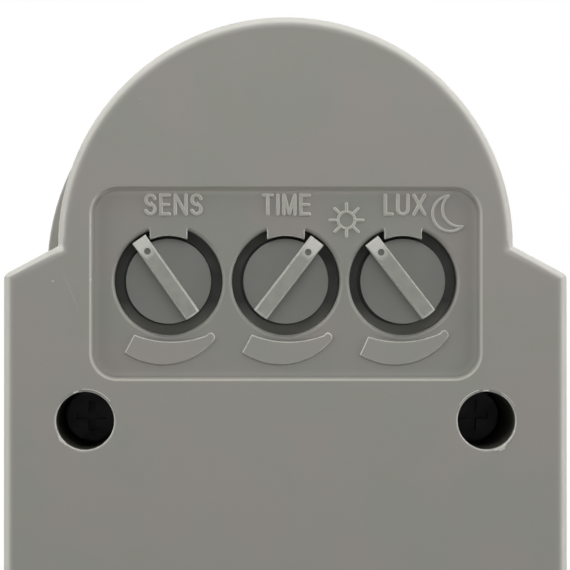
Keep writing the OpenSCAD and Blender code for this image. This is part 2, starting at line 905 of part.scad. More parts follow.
module pot_body() {
    pot_w = 10;
    pot_d = 11;
    corner_cut = 2.4;
    bush_gap = 0.05;
    color([0.15, 0.3, 0.55]) difference() {
        translate([-pot_w / 2, -pot_d / 2, pot_z]) difference() {
            cube([pot_w, pot_d, pot_h]);
            for (side = [0, 1]) translate([side * pot_w, pot_d, 0]) rotate([0, 0, 45])
                cube([corner_cut, corner_cut, 3 * pot_h], center = true);
        }
        translate([0, 0, pot_z - over]) cylinder(r = shaft_r + bush_gap, h = 2 * over);
        translate([0, 0, pot_z + pot_wall]) cylinder(r = rotor_r + 0.2, h = pot_h - 2 * pot_wall);
    }
}

module pot_rotor() {
    end_gap = 0.2;
    flat_up = 0.4;
    color([0.9, 0.9, 0.88]) difference() {
        union() {
            translate([0, 0, shaft_tip_z]) cylinder(r = shaft_r, h = pot_z + over - shaft_tip_z);
            translate([0, 0, pot_z + pot_wall + end_gap])
                cylinder(r = rotor_r, h = pot_h - 2 * (pot_wall + end_gap));
        }
        translate([shaft_flat, -shaft_r - over, shaft_tip_z - over])
            cube([shaft_r, 2 * (shaft_r + over), knob_top_z - shaft_tip_z + over + flat_up]);
    }
}

module shaft_socket() {
    tip_gap = 0.1;
    side_gap = 0.03;
    socket_r = shaft_r + side_gap;
    translate([0, 0, shaft_tip_z - tip_gap]) intersection() {
        cylinder(r = socket_r, h = knob_top_z - shaft_tip_z + over);
        translate([-socket_r, -socket_r, 0])
            cube([socket_r + shaft_flat + side_gap, 2 * socket_r, knob_top_z - shaft_tip_z + over]);
    }
}

// Pointer bar, as its side view cut to its end view
module pointer_bar() {
    half = pointer_w / 2;
    edge = 0.22;
    draft_h = 0.9;
    foot_in = 0.6;
    into_disc = 0.5;
    intersection() {
        rotate([90, 0, 90]) linear_extrude(pointer_w, center = true)
            polygon([
                [dial_r, disc_z + into_disc], [dial_r, pointer_z + edge], [dial_r - edge, pointer_z],
                [-pointer_slope_r, pointer_z], [-pointer_reach + edge, pointer_tip_z],
                [-pointer_reach, pointer_tip_z + edge], [-pointer_reach, pointer_foot_z],
                [-dial_r + foot_in, pointer_foot_z], [-dial_r + foot_in, disc_z + into_disc]
            ]);
        upright(-pointer_reach - over, dial_r + over)
            polygon([
                [-half, pointer_foot_z], [-half, pointer_z + draft_h], [-half + edge, pointer_z],
                [half - edge, pointer_z], [half, pointer_z + draft_h], [half, pointer_foot_z]
            ]);
        union() {
            translate([0, 0, face_z]) cylinder(r = dial_r, h = ledge_z - face_z);
            translate([-half - over, -pointer_reach - over, face_z])
                cube([pointer_w + 2 * over, pointer_reach, ledge_z - face_z]);
        }
    }
}

module seal_groove() {
    side_gap = 0.04;
    floor_gap = 0.02;
    groove_w = 2 * (seal_r + side_gap);
    translate([0, 0, seal_z - groove_w / 2]) difference() {
        cylinder(r = hub_r + over, h = groove_w);
        translate([0, 0, -over]) cylinder(r = seal_ring_r - seal_r - floor_gap, h = groove_w + 2 * over);
    }
}

// A dial's disc with its pointer bar, and the hub that turns in the ledge
module knob() {
    dimple_top_z = face_z + 0.5;
    color([0.47, 0.47, 0.45]) difference() {
        union() {
            translate([0, 0, disc_z]) cylinder(r = dial_r, h = dial_back_z - disc_z);
            translate([0, 0, dial_back_z - eps]) cylinder(r = hub_r, h = knob_top_z - dial_back_z + eps);
            pointer_bar();
        }
        translate([0, -dimple_at, face_z - over])
            cylinder(r = dimple_r, h = dimple_top_z - face_z + over, $fn = 32);
        seal_groove();
        shaft_socket();
    }
}

module seal() {
    color([0.1, 0.1, 0.1]) translate([0, 0, seal_z]) rotate_extrude($fn = 72)
        translate([seal_ring_r, 0]) circle(r = seal_r, $fn = 24);
}

// Puts a dial in its place in the row and turns it to the left by its angle
module placed(i, turn) {
    translate([i * dial_pitch, dial_y, 0]) rotate([0, 0, -turn]) children();
}

module sens_potentiometer() placed(-1, 0) pot_body();
module sens_shaft() placed(-1, sens_turn) pot_rotor();
module sens_knob() placed(-1, sens_turn) knob();
module sens_seal() placed(-1, sens_turn) seal();
module time_potentiometer() placed(0, 0) pot_body();
module time_shaft() placed(0, time_turn) pot_rotor();
module time_knob() placed(0, time_turn) knob();
module time_seal() placed(0, time_turn) seal();
module lux_potentiometer() placed(1, 0) pot_body();
module lux_shaft() placed(1, lux_turn) pot_rotor();
module lux_knob() placed(1, lux_turn) knob();
module lux_seal() placed(1, lux_turn) seal();

wall_base();
cable_grommet();
terminal_block();
terminal_clamps();
terminal_screws();
lead_wires();
lower_housing();
upper_housing();
lens();
main_board();
sensor_board();
pin_header();
pir_sensor();
pir_window();
photocell();
indicator_led();
relay();
film_capacitor();
filter_capacitor();
small_capacitor();
varistor();
fuse();
timer_chip();
housing_screws();
board_screws();
sens_potentiometer();
sens_shaft();
sens_knob();
sens_seal();
time_potentiometer();
time_shaft();
time_knob();
time_seal();
lux_potentiometer();
lux_shaft();
lux_knob();
lux_seal();
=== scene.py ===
"""Looks of the motion sensor switch, seen from below: moulded grey casing, three dials, lens and insides.

Lengths are in millimetres where a name ends in _mm, and in metres everywhere else.
"""
import json
import math

import bmesh
import bpy
from mathutils import Matrix, Vector


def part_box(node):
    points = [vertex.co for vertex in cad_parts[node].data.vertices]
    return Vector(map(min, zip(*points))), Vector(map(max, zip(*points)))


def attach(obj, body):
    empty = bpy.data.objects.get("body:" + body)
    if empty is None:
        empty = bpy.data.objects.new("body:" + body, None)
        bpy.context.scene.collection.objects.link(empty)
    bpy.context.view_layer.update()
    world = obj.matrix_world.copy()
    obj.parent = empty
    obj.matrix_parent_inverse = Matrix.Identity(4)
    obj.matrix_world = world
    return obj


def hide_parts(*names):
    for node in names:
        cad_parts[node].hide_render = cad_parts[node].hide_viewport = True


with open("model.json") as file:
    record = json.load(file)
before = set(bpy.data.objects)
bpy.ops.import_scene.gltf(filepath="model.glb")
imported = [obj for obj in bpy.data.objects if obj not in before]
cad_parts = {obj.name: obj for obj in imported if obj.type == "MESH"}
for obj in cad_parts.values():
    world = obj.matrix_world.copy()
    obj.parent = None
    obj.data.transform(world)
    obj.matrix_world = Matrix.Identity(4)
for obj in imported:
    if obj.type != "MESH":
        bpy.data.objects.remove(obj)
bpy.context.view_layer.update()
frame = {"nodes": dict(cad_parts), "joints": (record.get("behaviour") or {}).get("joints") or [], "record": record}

MM = 0.001
HOUSING = "housing"
DIALS = ("sens", "time", "lux")

# Light of the surroundings, and each lamp's turn from the front towards +X, angle below the level,
# distance and watts
FILL_LIGHT = 0.15
LAMPS = {
    "front_lamp": (0, 4, 0.35, 0.5),
    "lower_front_lamp": (0, 50, 0.35, 0.52),
    "front_left_lamp": (-50, 7, 0.7, 1.0),
    "front_right_lamp": (50, 7, 0.7, 1.0),
    "left_lamp": (-90, 10, 0.7, 3.0),
    "right_lamp": (90, 10, 0.7, 3.7),
    "back_lamp": (180, -10, 0.7, 2.8),
    "top_lamp": (180, -70, 0.7, 1.6),
}
LAMP_TARGET = Vector((0, -45, -45)) * MM
LAMP_SHAPE = 0.57
FLOOR_GLOW = 0.7
FLOOR_REACH = 6.0
FLOOR_Z = -1.25

# The camera's place and what it looks at, with the front of the sensor up in the picture
CAMERA_AT = Vector((-8.48, -41.95, -447)) * MM
CAMERA_TARGET = Vector((-0.14, -45.8, -47)) * MM
CAMERA_LENS = 198.2

# Places that the frame gives
face_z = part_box("lower_housing")[0].z
panel_z = face_z + 0.9 * MM
ledge_z = face_z + 5 * MM
mark_z = panel_z - 0.25 * MM
joint_of = {j["name"].split("_")[0]: Vector(j["pos_m"]) for j in frame["joints"]}
dial_y = joint_of["time"].y
dial_pitch = joint_of["lux"].x - joint_of["time"].x

# The panel's outline, the dials and their wells, and the wells that the casing screws are driven through
PANEL_HALF_W = 24.9 * MM
PANEL_HALF_D = 12.25 * MM
PANEL_CORNER_R = 3.4 * MM
PANEL_Y = -46 * MM
DIAL_R = 5.45 * MM
DIAL_WELL_R = 6.9 * MM
LUG_R = 5.8 * MM
LUG_HALF_W = 2.4 * MM
SCREW_X = 25.6 * MM
SCREW_Y = -28.5 * MM
SCREW_WELL_R = 3.7 * MM
SCREW_HEAD_Z = face_z + 24.1 * MM
TRAY_FRONT_Y = -8.5 * MM

# A level mark's upper arc, thin end and middle, counted from the dial's axis, and the light level's
# mark's turn about its middle
MARK_ARC_AT = Vector((0.36, -5)) * MM
MARK_ARC_R = 12.75 * MM
MARK_TIP = Vector((5.3, 7.2)) * MM
MARK_TIP_R = 0.62 * MM
MARK_MIDDLE = Vector((0, 9)) * MM
LUX_MARK_TURN = math.radians(-3.3)

# The middle of the painted shadow around a dial's disc, counted from the dial's axis
GAP_SHADOW_AT = Vector((-0.13, -0.05)) * MM

# The lens, and the cells moulded in it
HEAD_Y = -51 * MM
LENS_R = 27 * MM
LENS_COLUMNS = 14
LENS_ROWS = 4
CELL_BULGE = 0.25 * MM

# Colours, in sRGB from 0 to 255
CASING_WARM = (145, 141, 136)
CASING_COOL = (140, 141, 133)
# Raised words and signs painted lighter than the panel, as if lit on top
LIT_RAISED = (164, 163, 155)
# Painted highlights on the rounded outer edge, strongest where it faces the front
OUTER_EDGE_HIGHLIGHT = (180, 179, 171)
FRONT_EDGE_HIGHLIGHT = (200, 199, 192)
# Pale paint for the scratch, also used as a painted highlight on the panel's edge and as painted light at the
# panel's front foot
SCRATCH_AND_PAINTED_LIGHT = (176, 174, 165)
STEP_SHADE = (96, 96, 92)
# A dial's disc painted darker as shade and its pointer lighter as if lit, with painted highlights on the pointer's
# edges and painted shade in its dimple
SHADED_DISC = (117, 117, 112)
LIT_POINTER = (135, 135, 128)
POINTER_HIGHLIGHT = (192, 192, 185)
DIMPLE_SHADE = (96, 96, 92)
# A dial well's ledge painted dark as shade, lighter at its front and rear as if lit, and a painted shadow around
# the disc
LEDGE_FRONT_SHADE = (112, 114, 105)
LEDGE_SHADE = (70, 71, 65)
LEDGE_REAR_LIT = (168, 168, 159)
GAP_SHADOW = (8, 8, 7)
# Painted shade inside the screw wells
WELL_WALL_SHADE = (96, 94, 87)
SPECK = (70, 70, 68)
# Pale specks and flash; the same colour also paints highlights on edges and at the screw wells' mouths
PALE_SPECK_AND_HIGHLIGHT = (190, 189, 182)

# A fine scratch left of the panel, from one place on the underside to another, and pale nicks
SCRATCH = (Vector((-28.27, -47.15)) * MM, Vector((-26.54, -42.78)) * MM)
NICKS = [(-28.85, -50.5, 0.7, 0.3), (-29.68, -46.3, 0.16, 0.06), (-24.95, -46.5, 0.22, 0.1)]


# Colours and node materials

def linear(srgb):
    """An sRGB colour in 0 to 255 as linear red, green, blue and alpha."""
    channels = [c / 255 for c in srgb]
    return [c / 12.92 if c <= 0.04045 else ((c + 0.055) / 1.055) ** 2.4 for c in channels] + [1.0]


class Nodes:
    """Adds and links the nodes of one material or world."""

    def __init__(self, tree):
        self.tree = tree

    def add(self, kind, inputs=None, **settings):
        node = self.tree.nodes.new(kind)
        for key, value in settings.items():
            setattr(node, key, value)
        for key, value in (inputs or {}).items():
            self.feed(node.inputs[key], value)
        return node

    def feed(self, socket, value):
        if isinstance(value, bpy.types.NodeSocket):
            self.tree.links.new(value, socket)
        else:
            socket.default_value = value

    def math(self, operation, *values):
        node = self.add("ShaderNodeMath", operation=operation)
        for socket, value in zip(node.inputs, values):
            self.feed(socket, value)
        return node.outputs[0]

    def remap(self, value, low, high, to_low, to_high):
        return self.add("ShaderNodeMapRange", {
            "Value": value, "From Min": low, "From Max": high, "To Min": to_low, "To Max": to_high,
        }).outputs["Result"]

    def mix(self, factor, a, b):
        node = self.add("ShaderNodeMix", data_type="RGBA")
        self.feed(node.inputs[0], factor)
        self.feed(node.inputs[6], a)
        self.feed(node.inputs[7], b)
        return node.outputs[2]

    def seen_directly(self):
        """1 for what the camera sees, also in a mirror or through glass, and 0 for light on the object."""
        rays = self.add("ShaderNodeLightPath").outputs
        seen = self.math("MAXIMUM", rays["Is Camera Ray"], rays["Is Glossy Ray"])
        return self.math("MAXIMUM", seen, rays["Is Transmission Ray"])


class MaterialNodes(Nodes):
    """The nodes of a new material, with its shader and the place on the piece in metres."""

    def __init__(self, name):
        self.material = bpy.data.materials.new(name)
        self.material.use_nodes = True
        super().__init__(self.material.node_tree)
        self.shader = self.tree.nodes["Principled BSDF"]
        self.place = self.add("ShaderNodeTexCoord").outputs["Object"]
        axes = self.add("ShaderNodeSeparateXYZ", {"Vector": self.place}).outputs
        self.x, self.y, self.z = axes["X"], axes["Y"], axes["Z"]

    def noise(self, scale, detail=3.0):
        return self.add("ShaderNodeTexNoise", {
            "Vector": self.place, "Scale": scale, "Detail": detail, "Roughness": 0.5}).outputs["Fac"]

    def above(self, value, edge, soft=0.02 * MM):
        return self.remap(value, edge - soft, edge + soft, 0, 1)

    def below(self, value, edge, soft=0.02 * MM):
        return self.remap(value, edge - soft, edge + soft, 1, 0)

    def both(self, first, *others):
        """1 where all the masks are 1."""
        for other in others:
            first = self.math("MULTIPLY", first, other)
        return first

    def from_axis(self, x, y):
        """Distance from an upright axis, where x and y are counted from it."""
        return self.math("SQRT", self.math("MULTIPLY_ADD", x, x, self.math("MULTIPLY", y, y)))

    def tilt(self, start=8, end=26):
        """0 on faces up to the first slope, in degrees, and 1 from the second."""
        normal = self.add("ShaderNodeNewGeometry").outputs["Normal"]
        level = self.math("ABSOLUTE", self.add("ShaderNodeSeparateXYZ", {"Vector": normal}).outputs["Z"])
        return self.remap(level, math.cos(math.radians(start)), math.cos(math.radians(end)), 0, 1)

    def faces_front(self):
        """0 on faces that look aside, down or up, and 1 on those that look to the front."""
        normal = self.add("ShaderNodeNewGeometry").outputs["Normal"]
        backwards = self.add("ShaderNodeSeparateXYZ", {"Vector": normal}).outputs["Y"]
        return self.remap(backwards, -0.6, -0.15, 1, 0)

    def band(self, value, low, high, soft=0.02 * MM):
        return self.both(self.above(value, low, soft), self.below(value, high, soft))

    def near_line(self, start, end, half_width):
        """1 along a line on the underside, with a faded start and end."""
        way = (end - start).normalized()
        x, y = self.math("SUBTRACT", self.x, start.x), self.math("SUBTRACT", self.y, start.y)
        ahead = self.math("MULTIPLY_ADD", x, way.x, self.math("MULTIPLY", y, way.y))
        aside = self.math("MULTIPLY_ADD", x, way.y, self.math("MULTIPLY", y, -way.x))
        on_line = self.band(ahead, 0, (end - start).length, MM)
        return self.both(on_line, self.remap(self.math("ABSOLUTE", aside), 0, half_width, 1, 0))

    def near_place(self, x_mm, y_mm, radius_mm, core_mm):
        """1 at the core of a round spot on the underside, and 0 from its radius outwards."""
        away = self.from_axis(
            self.math("SUBTRACT", self.x, x_mm * MM), self.math("SUBTRACT", self.y, y_mm * MM))
        return self.remap(away, core_mm * MM, radius_mm * MM, 1, 0)

    def from_dials(self):
        """X and y counted from the nearest dial's axis, and the distance from it."""
        x = self.math("WRAP", self.x, dial_pitch / 2, -dial_pitch / 2)
        y = self.math("SUBTRACT", self.y, dial_y)
        return x, y, self.from_axis(x, y)

    def specks(self, spacing_mm, share):
        """Sparse dots about a tenth of a millimetre across."""
        cells = self.add("ShaderNodeTexVoronoi", {"Vector": self.place, "Scale": 1000 / spacing_mm}).outputs
        lot = self.add("ShaderNodeSeparateColor", {"Color": cells["Color"]}).outputs[0]
        near = self.remap(cells["Distance"], 0.04 / spacing_mm, 0.11 / spacing_mm, 1, 0)
        return self.both(self.below(lot, share, 0.001), near)

    def cover(self, colour, mask, paint, share=1.0):
        """The colour with an sRGB paint over it where the mask is 1, at the given share."""
        return self.mix(self.math("MULTIPLY", mask, share), colour, linear(paint))

    def paint(self, colour, rough=0.5, grain_mm=0.25, grain_depth_mm=0.006):
        """Gives the shader its colour, an uneven gloss and a fine surface grain."""
        uneven = self.remap(self.noise(400), 0.3, 0.7, rough - 0.06, rough + 0.06)
        grain = self.add("ShaderNodeBump", {
            "Height": self.noise(1000 / grain_mm, 2), "Distance": grain_depth_mm * MM}).outputs["Normal"]
        self.feed(self.shader.inputs["Base Color"], colour)
        self.feed(self.shader.inputs["Roughness"], uneven)
        self.feed(self.shader.inputs["Normal"], grain)
        return self.material


def plastic(name, srgb, rough, spread=0.05, metallic=0.0):
    """Moulded plastic or plain metal, with a cloudy colour."""
    n = MaterialNodes(name)
    base = linear(srgb)
    darker = [c * (1 - 2 * spread) for c in base[:3]] + [1.0]
    lighter = [c * (1 + 2 * spread) for c in base[:3]] + [1.0]
    n.shader.inputs["Metallic"].default_value = metallic
    return n.paint(n.mix(n.remap(n.noise(90, 4), 0.3, 0.7, 0, 1), darker, lighter), rough)


class CasingNodes(MaterialNodes):
    """The casing's nodes, with the distances from its panel, screws and dials that the masks need."""

    def __init__(self, name):
        super().__init__(name)
        self.beyond = self.beyond_panel()
        self.from_screw = self.from_axis(
            self.math("SUBTRACT", self.math("ABSOLUTE", self.x), SCREW_X),
            self.math("SUBTRACT", self.y, SCREW_Y))
        self.dial_x, self.dial_y, self.from_dial = self.from_dials()
        self.beside_dial = self.math("ABSOLUTE", self.dial_x)
        self.in_row = self.below(self.math("ABSOLUTE", self.x), 1.5 * dial_pitch)
        self.broken = self.remap(self.noise(1500, 2), 0.3, 0.6, 0.4, 1)

    def beyond_panel(self):
        """How far outside the panel's outline a place lies, negative inside it."""
        x = self.math("SUBTRACT", self.math("ABSOLUTE", self.x), PANEL_HALF_W - PANEL_CORNER_R)
        y = self.math("ABSOLUTE", self.math("SUBTRACT", self.y, PANEL_Y))
        y = self.math("SUBTRACT", y, PANEL_HALF_D - PANEL_CORNER_R)
        outside = self.from_axis(self.math("MAXIMUM", x, 0), self.math("MAXIMUM", y, 0))
        inside = self.math("MINIMUM", self.math("MAXIMUM", x, y), 0)
        return self.math("SUBTRACT", self.math("ADD", outside, inside), PANEL_CORNER_R)

    def plate(self):
        """The plain grey, with a scratch and specks."""
        cloud = self.remap(self.noise(120, 3), 0.35, 0.65, 0, 1)
        colour = self.mix(cloud, linear(CASING_WARM), linear(CASING_COOL))
        scratch = self.both(self.near_line(*SCRATCH, 0.09 * MM), self.below(self.z, face_z + MM))
        colour = self.cover(colour, scratch, SCRATCH_AND_PAINTED_LIGHT, 0.3)
        colour = self.cover(colour, self.specks(2.5, 0.1), SPECK, 0.35)
        return self.cover(colour, self.specks(3.1, 0.08), PALE_SPECK_AND_HIGHLIGHT, 0.5)

    def outer_edge(self, colour):
        """The rounded outer edge, with a painted highlight paler than the plate, strongest to the front, and a few
        nicks.
        """
        # Painted highlight on the rounded outer edge, away from the panel, the screw wells and the tray
        outer = self.both(
            self.tilt(12, 35),
            self.below(self.z, face_z + 2.6 * MM, 0.5 * MM),
            self.above(self.beyond, MM, 0.5 * MM),
            self.above(self.from_screw, SCREW_WELL_R + MM, 0.5 * MM),
            self.below(self.y, TRAY_FRONT_Y, 0.5 * MM))
        edge = self.mix(self.faces_front(), linear(OUTER_EDGE_HIGHLIGHT), linear(FRONT_EDGE_HIGHLIGHT))
        colour = self.mix(self.math("MULTIPLY", outer, 0.75), colour, edge)
        for nick in NICKS:
            on_edge = self.both(self.near_place(*nick), self.below(self.z, face_z + 3 * MM))
            colour = self.cover(colour, on_edge, PALE_SPECK_AND_HIGHLIGHT)
        return colour

    def panel(self, colour):
        """The panel, with painted shade on its floor, a painted highlight on its edge but for the front side,
        painted shade at its foot, and painted light at the foot of the front side.
        """
        # Painted shade on the panel's floor
        floor = self.both(
            self.below(self.beyond, -MM, 0.3 * MM),
            self.band(self.z, panel_z - 0.05 * MM, panel_z + 0.05 * MM))
        colour = self.cover(colour, floor, STEP_SHADE, 0.2)
        off_front = self.above(self.y, PANEL_Y - PANEL_HALF_D + MM, 0.5 * MM)
        # Painted highlight along the panel's edge, left out on the front side
        ridge_highlight = self.both(
            self.band(self.beyond, -0.08 * MM, 0.2 * MM, 0.06 * MM),
            self.below(self.z, face_z + 0.4 * MM),
            off_front)
        colour = self.cover(colour, ridge_highlight, SCRATCH_AND_PAINTED_LIGHT, 0.8)
        # Painted shade at the foot of the step, left out on the front side
        at_foot = self.band(self.z, face_z + 0.3 * MM, face_z + MM)
        foot = self.both(self.band(self.beyond, -0.44 * MM, -0.22 * MM, 0.08 * MM), at_foot, off_front)
        colour = self.cover(colour, foot, STEP_SHADE, 0.3)
        # Painted light at the foot of the front side, where the step casts its shadow
        front_foot_light = self.both(
            self.band(self.beyond, -0.8 * MM, 0.05 * MM, 0.15 * MM),
            at_foot,
            self.math("SUBTRACT", 1, off_front))
        return self.cover(colour, front_foot_light, SCRATCH_AND_PAINTED_LIGHT, 0.7)

    def marks_and_lugs(self, colour):
        """Painted highlights on the level marks' edges, brightest at their ends, and on the stop lugs' corners,
        and painted shade above a mark.
        """
        on_mark = self.both(
            self.below(self.beyond, -MM),
            self.band(self.z, mark_z - 0.05 * MM, panel_z - 0.03 * MM),
            self.remap(self.beside_dial, 2 * MM, 5 * MM, 0.6, 1))
        on_lug = self.both(
            self.in_row,
            self.below(self.beside_dial, LUG_HALF_W + 0.12 * MM),
            self.band(self.dial_y, -DIAL_WELL_R - 0.2 * MM, -LUG_R + 0.3 * MM),
            self.below(self.z, face_z + 1.3 * MM))
        # Painted highlights on the edges of the marks and lugs
        edges = self.both(self.math("MAXIMUM", on_mark, on_lug), self.tilt(4, 16), self.broken)
        colour = self.cover(colour, edges, PALE_SPECK_AND_HIGHLIGHT)
        # Painted shade along each mark's upper arc
        from_arc = self.from_axis(
            self.math("SUBTRACT", self.dial_x, MARK_ARC_AT.x),
            self.math("SUBTRACT", self.dial_y, MARK_ARC_AT.y))
        shade_above_mark = self.both(
            self.in_row,
            self.band(from_arc, MARK_ARC_R - 0.3 * MM, MARK_ARC_R, 0.06 * MM),
            self.above(self.dial_y, 6 * MM),
            self.remap(self.beside_dial, 2.5 * MM, 4.5 * MM, 0.5, 0),
            self.band(self.z, panel_z - 0.03 * MM, panel_z + 0.1 * MM))
        return self.cover(colour, shade_above_mark, STEP_SHADE)

    def dial_wells(self, colour):
        """A well's rim with painted shade on the mark's side, and its ledge, painted dark as shade, lighter at the
        front and rear as if lit, with a painted shadow where it meets the disc.
        """
        # Painted shade on the rim on the mark's side
        rim = self.both(
            self.in_row,
            self.above(self.from_dial, DIAL_WELL_R - 0.1 * MM),
            self.below(self.from_dial, DIAL_WELL_R + 0.6 * MM, 0.3 * MM),
            self.band(self.z, panel_z - 0.03 * MM, panel_z + 0.4 * MM),
            self.above(self.dial_y, 3 * MM, MM),
            self.remap(self.beside_dial, MM, 5 * MM, 0.75, 0))
        colour = self.cover(colour, rim, STEP_SHADE)
        # Painted shade on the ledge, lighter at the front and rear as if lit
        in_well = self.both(
            self.in_row,
            self.below(self.from_dial, DIAL_WELL_R + 0.3 * MM),
            self.below(self.z, ledge_z + 2 * MM))
        past_front = self.remap(self.dial_y, -5 * MM, -1 * MM, 0, 1)
        at_rear = self.remap(self.dial_y, 2.5 * MM, 6.5 * MM, 0, 1)
        ledge = self.mix(past_front, linear(LEDGE_FRONT_SHADE), linear(LEDGE_SHADE))
        ledge = self.mix(at_rear, ledge, linear(LEDGE_REAR_LIT))
        colour = self.mix(self.both(in_well, self.above(self.z, ledge_z - MM, MM)), colour, ledge)
        # Painted shadow where the ledge meets the disc
        from_disc = self.from_axis(
            self.math("SUBTRACT", self.dial_x, GAP_SHADOW_AT.x),
            self.math("SUBTRACT", self.dial_y, GAP_SHADOW_AT.y))
        gap = self.both(
            in_well,
            self.above(self.z, ledge_z - 0.5 * MM),
            self.below(from_disc, DIAL_R + 0.22 * MM, 0.1 * MM))
        return self.cover(colour, gap, GAP_SHADOW)

    def screw_wells(self, colour):
        """The screw wells, with a painted highlight around the mouth and painted shade inside."""
        near_screw = self.below(self.from_screw, SCREW_WELL_R + 0.12 * MM)
        # Painted highlight around the mouth
        mouth = self.both(near_screw, self.below(self.z, face_z + 0.3 * MM), self.broken)
        colour = self.cover(colour, mouth, PALE_SPECK_AND_HIGHLIGHT)
        # Painted shade inside the well
        inside = self.both(near_screw, self.band(self.z, face_z + 0.3 * MM, SCREW_HEAD_Z))
        return self.cover(colour, inside, WELL_WALL_SHADE)


def casing_grey():
    """The casing's grey plastic: painted highlights on its edges, and painted shade at the panel's foot and down
    in the wells.
    """
    n = CasingNodes("casing_grey")
    colour = n.plate()
    for paint_over in (n.outer_edge, n.panel, n.marks_and_lugs, n.dial_wells, n.screw_wells):
        colour = paint_over(colour)
    return n.paint(colour)


def raised_grey():
    """The raised words and signs: painted lighter than the panel as if lit on top, with painted highlights on
    their broken edges.
    """
    n = MaterialNodes("raised_grey")
    # Painted highlights on the edges of the words and signs
    edges = n.both(n.tilt(), n.remap(n.noise(1800, 2), 0.3, 0.6, 0.4, 1))
    return n.paint(n.mix(edges, linear(LIT_RAISED), linear(PALE_SPECK_AND_HIGHLIGHT)))


def dimple_place(node):
    """Where the dimple in a dial's pointer lies, in millimetres."""
    floor_z = face_z + 0.5 * MM
    floor = [v.co for v in frame["nodes"][node].data.vertices if abs(v.co.z - floor_z) < 0.01 * MM]
    return [sum(c[axis] for c in floor) / len(floor) / MM for axis in (0, 1)]


def dial_grey():
    """A dial's grey plastic: a disc painted darker as shade, and a pointer bar painted lighter as if lit, with
    painted highlights on its edges and tip and painted shade in its dimple.
    """
    n = MaterialNodes("dial_grey")
    cloud = n.remap(n.noise(160, 3), 0.3, 0.7, 0, 0.2)
    disc = n.mix(cloud, linear(SHADED_DISC), linear(LIT_POINTER))
    edge = linear(POINTER_HIGHLIGHT)
    from_dial = n.from_dials()[2]
    bar = n.mix(n.remap(n.noise(700, 3), 0.3, 0.7, 0, 0.15), linear(LIT_POINTER), edge)
    # Painted highlights on the pointer's sloped tip and on its edges
    tip_highlight = n.both(n.tilt(2, 9), n.remap(from_dial, 3.5 * MM, DIAL_R, 0.1, 0.85))
    bar = n.mix(tip_highlight, bar, edge)
    bar = n.mix(n.both(n.tilt(20, 40), n.remap(n.noise(2200, 2), 0.3, 0.6, 0.2, 0.8)), bar, edge)
    # Painted shade in each pointer's dimple
    for dial in DIALS:
        bar = n.cover(bar, n.near_place(*dimple_place(f"{dial}_knob"), 0.46, 0.4), DIMPLE_SHADE)
    # The sunk disc painted darker as shade, and the pointer bar lighter as if lit
    colour = n.mix(n.below(n.z, face_z + 1.4 * MM, 0.3 * MM), disc, bar)
    colour = n.cover(colour, n.specks(2.2, 0.12), PALE_SPECK_AND_HIGHLIGHT, 0.6)
    return n.paint(colour)


def lead_colours():
    """Brown, blue and black insulation, by the lead's place in the row."""
    n = MaterialNodes("lead_insulation")
    colour = n.mix(n.above(n.x, -8 * MM), linear((96, 56, 30)), linear((40, 70, 140)))
    colour = n.mix(n.above(n.x, 0), colour, linear((26, 26, 26)))
    return n.paint(colour, 0.35, 0.4, 0.003)


# Meshes

def new_piece(name, mesh, body, material, replaced=()):
    piece = bpy.data.objects.new(name, mesh)
    bpy.context.scene.collection.objects.link(piece)
    mesh.materials.clear()
    mesh.materials.append(material)
    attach(piece, body)
    if replaced:
        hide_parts(*replaced)
    return piece


def mesh_from(bm, name):
    mesh = bpy.data.meshes.new(name)
    bm.to_mesh(mesh)
    bm.free()
    return mesh


def mark_sharp(bm, angle):
    for face in bm.faces:
        face.smooth = True
    for edge in bm.edges:
        edge.smooth = edge.is_manifold and edge.calc_face_angle() < angle


def soften(piece, width, segments):
    """Rounds the piece's edges by their weights and keeps its flat faces flat."""
    bevel = piece.modifiers.new("edges", "BEVEL")
    bevel.width = width
    bevel.segments = segments
    bevel.limit_method = "WEIGHT"
    bevel.use_clamp_overlap = False
    bevel.miter_outer = "MITER_ARC"
    flat = piece.modifiers.new("flat_faces", "WEIGHTED_NORMAL")
    flat.keep_sharp = True
    flat.weight = 100


def cleaned_copy(node):
    """A CAD node's mesh with its corners joined and its flat faces made whole."""
    bm = bmesh.new()
    bm.from_mesh(frame["nodes"][node].data)
    bmesh.ops.remove_doubles(bm, verts=bm.verts, dist=0.002 * MM)
    bmesh.ops.dissolve_limit(bm, angle_limit=math.radians(0.4), verts=bm.verts, edges=bm.edges)
    return bm


def round_mark_tips(bm):
    """Moves the thin end of each level mark onto one circle, so that it ends without a corner."""
    for dial, joint in joint_of.items():
        turn = Matrix.Rotation(LUX_MARK_TURN if dial == "lux" else 0, 2)
        tip = joint.xy + MARK_MIDDLE + turn @ (MARK_TIP - MARK_MIDDLE)
        for vert in bm.verts:
            away = vert.co.xy - tip
            on_mark = min(abs(vert.co.z - mark_z), abs(vert.co.z - panel_z)) < 0.02 * MM
            if on_mark and away.length < 0.8 * MM and away.x > 0 and away.y < 0.7 * away.x:
                vert.co.xy = tip + MARK_TIP_R * away.normalized()


def rounded_copy(node, name, body, material, width_of, segments=2, reshape=None):
    """A copy of a CAD node with each sharp edge rounded by its own width, which stands for the node."""
    bm = cleaned_copy(node)
    if reshape:
        reshape(bm)
    mark_sharp(bm, math.radians(28))
    widths = []
    for edge in bm.edges:
        widths.append(0.0 if edge.smooth else width_of(edge))
        edge.smooth = True
    mesh = mesh_from(bm, name)
    widest = max(widths)
    weights = mesh.attributes.new("bevel_weight_edge", "FLOAT", "EDGE")
    weights.data.foreach_set("value", [w / widest for w in widths])
    piece = new_piece(name, mesh, body, material, [node])
    soften(piece, widest, segments)


def middle(edge):
    return (edge.verts[0].co + edge.verts[1].co) / 2


